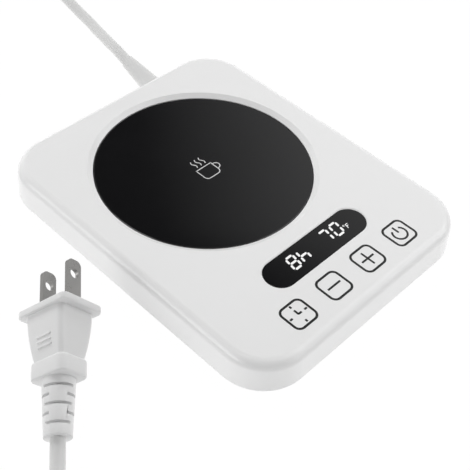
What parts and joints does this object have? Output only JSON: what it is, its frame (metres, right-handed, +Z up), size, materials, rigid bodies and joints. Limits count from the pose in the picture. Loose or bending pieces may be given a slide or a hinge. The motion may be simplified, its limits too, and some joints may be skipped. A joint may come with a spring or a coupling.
{
  "type": "electric mug warmer",
  "caption": "Flat electric mug warmer: rounded white base, round black glass hotplate, display window and printed touch keys, rubber feet, mains cord with a two-blade plug.",
  "frame": {"origin": "centre of the base's footprint, on the plane of the feet", "axes": "+X to the right seen from the key side, +Y from the keys to the rear wall with the cord outlet, +Z up"},
  "size_m": [0.235, 0.282, 0.0282],
  "materials": {
    "shell_gloss": "gloss white moulded ABS",
    "cover_matte": "fine matte white ABS",
    "hotplate_glass": "polished black crystal glass, opaque",
    "silicone": "soft grey silicone",
    "aluminium": "rolled",
    "mica_foil": "mica with etched foil",
    "felt": "needled glass felt",
    "pressed_steel": "pressed, zinc plated",
    "screw_steel": "zinc plated",
    "ceramic": "glazed ceramic bead",
    "fuse_metal": "tinned",
    "circuit_board": "solder resist",
    "part_black": "moulded epoxy",
    "smoked_window": "smoked acrylic",
    "gilt_spring": "plated",
    "coil_yellow": "taped winding",
    "capacitor_sleeve": "shrunk sleeve",
    "capacitor_case": "dipped case",
    "terminal_green": "moulded",
    "clamp_nylon": "natural nylon",
    "wire_sleeve": "PVC insulation",
    "foot_rubber": "matte",
    "cord_sleeve": "satin white PVC",
    "plug_moulding": "satin light grey PVC",
    "blade_metal": "nickel plated"
  },
  "bodies": {
    "root": {"top_shell": "shell_gloss", "bottom_cover": "cover_matte", "heating_glass": "hotplate_glass", "glass_seal": "silicone", "heat_spreader": "aluminium", "heating_element": "mica_foil", "heater_insulator": "felt", "heater_retainer": "pressed_steel", "retainer_screws": "screw_steel", "sensor_holder": "silicone", "temperature_sensor": "ceramic", "thermal_fuse": "fuse_metal", "fuse_clip": "pressed_steel", "main_board": "circuit_board", "display_module": "part_black", "display_window": "smoked_window", "touch_springs": "gilt_spring", "control_chip": "part_black", "transformer": "coil_yellow", "smoothing_capacitor": "capacitor_sleeve", "filter_capacitor": "capacitor_case", "heater_triac": "part_black", "buzzer": "part_black", "board_fuse": "fuse_metal", "mains_terminal": "terminal_green", "board_screws": "screw_steel", "cord_clamp": "clamp_nylon", "clamp_screws": "screw_steel", "mains_wires": "wire_sleeve", "heater_wires": "wire_sleeve", "sensor_wires": "wire_sleeve", "case_screws": "screw_steel", "rubber_feet": "foot_rubber", "cord_gland": "cord_sleeve", "cord_lead": "cord_sleeve", "cord_coil": "cord_sleeve", "cord_tail": "cord_sleeve", "plug_body": "plug_moulding", "plug_blades": "blade_metal"}
  },
  "joints": []
}
